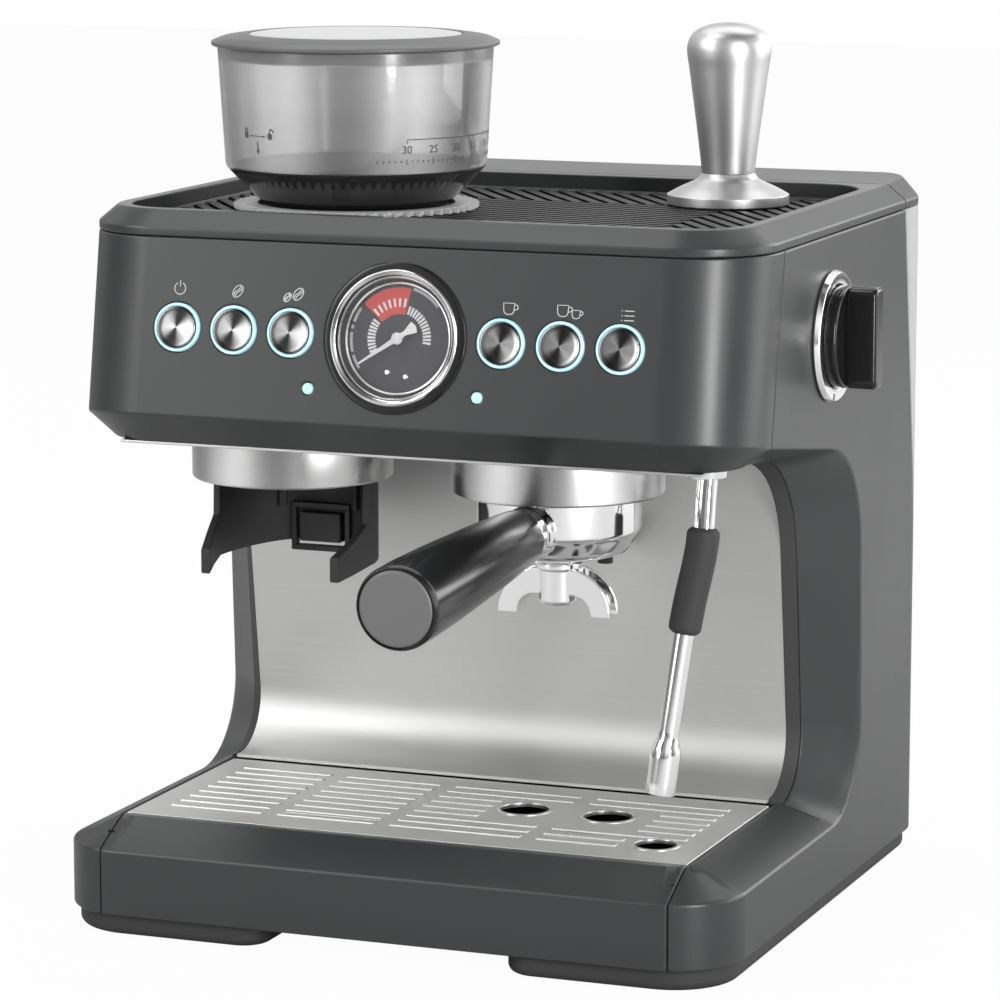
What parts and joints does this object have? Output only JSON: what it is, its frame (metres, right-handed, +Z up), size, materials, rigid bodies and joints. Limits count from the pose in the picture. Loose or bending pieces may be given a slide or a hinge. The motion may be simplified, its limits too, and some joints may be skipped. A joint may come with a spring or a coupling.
{
  "type": "espresso machine",
  "caption": "Countertop espresso machine with a built-in grinder, bean hopper, locking portafilter, steam wand, pressure gauge, drip tray and lift-out water tank.",
  "frame": {"origin": "floor point below the middle of the base", "axes": "+X to the user's right, +Y to the back, +Z up"},
  "size_m": [0.349, 0.4231, 0.4097],
  "materials": {
    "body_paint": "satin charcoal",
    "black_plastic": "matt black",
    "gloss_black": "gloss black",
    "rubber": "matt",
    "steel": "brushed",
    "chrome": "polished",
    "aluminium": "satin",
    "brass": "plain",
    "smoked_clear": "clear",
    "light_ring": "lit",
    "dial_face": "printed",
    "grey_plastic": "matt grey",
    "board": "lacquered"
  },
  "bodies": {
    "machine": {"base_pan": "black_plastic", "rubber_feet": "rubber", "left_side_panel": "body_paint", "right_side_panel": "body_paint", "front_panel": "body_paint", "top_cap": "body_paint", "rear_cover": "black_plastic", "case_screws": "steel", "power_inlet": "black_plastic", "backplate": "steel", "underside_plate": "steel", "chassis_frame": "steel", "group_collar": "steel", "group_head": "aluminium", "group_gasket": "rubber", "shower_screen": "steel", "grinder_collar": "steel", "grind_cradle": "black_plastic", "grinder_housing": "black_plastic", "grinder_motor": "steel", "button_rings": "light_ring", "indicator_lights": "light_ring", "control_board": "board", "gauge_case": "black_plastic", "gauge_ring": "chrome", "gauge_dial": "dial_face", "gauge_glass": "smoked_clear", "knob_escutcheon": "chrome", "steam_valve": "brass", "hot_water_outlet": "black_plastic", "pump": "black_plastic", "water_hose": "rubber"},
    "power_button": {"power_button": "steel"},
    "single_dose_button": {"single_dose_button": "steel"},
    "double_dose_button": {"double_dose_button": "steel"},
    "single_cup_button": {"single_cup_button": "steel"},
    "double_cup_button": {"double_cup_button": "steel"},
    "menu_button": {"menu_button": "steel"},
    "steam_knob": {"steam_knob": "black_plastic"},
    "wand_mount": {"wand_collar": "chrome"},
    "wand": {"wand_tube": "chrome", "wand_sleeve": "rubber"},
    "portafilter": {"portafilter_bowl": "chrome", "filter_basket": "steel", "portafilter_spout": "chrome", "portafilter_handle": "gloss_black"},
    "drip_tray": {"drip_tray_front": "body_paint", "drip_tray_pan": "black_plastic"},
    "drip_plate": {"drip_plate": "steel"},
    "water_tank": {"water_tank": "smoked_clear"},
    "tank_lid": {"tank_lid": "body_paint"},
    "hopper": {"hopper_bowl": "smoked_clear", "adjust_ring": "grey_plastic", "upper_burr": "steel"},
    "hopper_lid": {"hopper_lid": "grey_plastic"},
    "lower_burr": {"lower_burr": "steel"},
    "gauge_needle": {"gauge_needle": "chrome"},
    "grind_switch": {"grind_switch": "black_plastic"},
    "tamper": {"tamper": "aluminium"}
  },
  "joints": [
    {"name": "power_button_press", "type": "slide", "parent": "machine", "child": "power_button", "axis": [0, 0.985, -0.1727], "range_m": [0, 0.0015], "stiffness_N_per_m": 400},
    {"name": "single_dose_button_press", "type": "slide", "parent": "machine", "child": "single_dose_button", "axis": [0, 0.985, -0.1727], "range_m": [0, 0.0015], "stiffness_N_per_m": 400},
    {"name": "double_dose_button_press", "type": "slide", "parent": "machine", "child": "double_dose_button", "axis": [0, 0.985, -0.1727], "range_m": [0, 0.0015], "stiffness_N_per_m": 400},
    {"name": "single_cup_button_press", "type": "slide", "parent": "machine", "child": "single_cup_button", "axis": [0, 0.985, -0.1727], "range_m": [0, 0.0015], "stiffness_N_per_m": 400},
    {"name": "double_cup_button_press", "type": "slide", "parent": "machine", "child": "double_cup_button", "axis": [0, 0.985, -0.1727], "range_m": [0, 0.0015], "stiffness_N_per_m": 400},
    {"name": "menu_button_press", "type": "slide", "parent": "machine", "child": "menu_button", "axis": [0, 0.985, -0.1727], "range_m": [0, 0.0015], "stiffness_N_per_m": 400},
    {"name": "steam_knob_turn", "type": "hinge", "parent": "machine", "child": "steam_knob", "pos_m": [0.163, -0.0054, 0.2727], "axis": [1, 0, 0], "range_deg": [-90, 90]},
    {"name": "wand_swivel", "type": "hinge", "parent": "machine", "child": "wand_mount", "pos_m": [0.124, -0.067, 0.2122], "axis": [0, 0, 1], "range_deg": [-60, 25]},
    {"name": "wand_tilt", "type": "hinge", "parent": "wand_mount", "child": "wand", "pos_m": [0.124, -0.067, 0.2122], "axis": [0, -1, 0], "range_deg": [-4, 35]},
    {"name": "portafilter_turn", "type": "hinge", "parent": "machine", "child": "portafilter", "pos_m": [0.054, -0.069, 0.2], "axis": [0, 0, 1], "range_deg": [-45, 0]},
    {"name": "drip_tray_slide", "type": "slide", "parent": "machine", "child": "drip_tray", "axis": [0, -1, 0], "range_m": [0, 0.15]},
    {"name": "drip_plate_lift", "type": "slide", "parent": "drip_tray", "child": "drip_plate", "axis": [0, 0, 1], "range_m": [0, 0.016]},
    {"name": "water_tank_lift", "type": "slide", "parent": "machine", "child": "water_tank", "axis": [0, 0, 1], "range_m": [0, 0.26]},
    {"name": "tank_lid_fold", "type": "hinge", "parent": "water_tank", "child": "tank_lid", "pos_m": [0, 0.157, 0.3196], "axis": [-1, 0, 0], "range_deg": [0, 95]},
    {"name": "hopper_turn", "type": "hinge", "parent": "machine", "child": "hopper", "pos_m": [-0.0715, -0.006, 0.33], "axis": [0, 0, 1], "range_deg": [-40, 40]},
    {"name": "hopper_lid_lift", "type": "slide", "parent": "hopper", "child": "hopper_lid", "axis": [0, 0, 1], "range_m": [0, 0.06]},
    {"name": "lower_burr_spin", "type": "hinge", "parent": "machine", "child": "lower_burr", "pos_m": [-0.0715, -0.006, 0.3], "axis": [0, 0, 1], "continuous": true},
    {"name": "gauge_needle_turn", "type": "hinge", "parent": "machine", "child": "gauge_needle", "pos_m": [0, -0.13208, 0.2795], "axis": [0, 0.985, -0.1727], "range_deg": [0, 240]},
    {"name": "grind_switch_press", "type": "slide", "parent": "machine", "child": "grind_switch", "axis": [0, 1, 0], "range_m": [0, 0.003], "stiffness_N_per_m": 300},
    {"name": "tamper_lift", "type": "slide", "parent": "machine", "child": "tamper", "axis": [0, 0, 1], "range_m": [0, 0.12]}
  ]
}
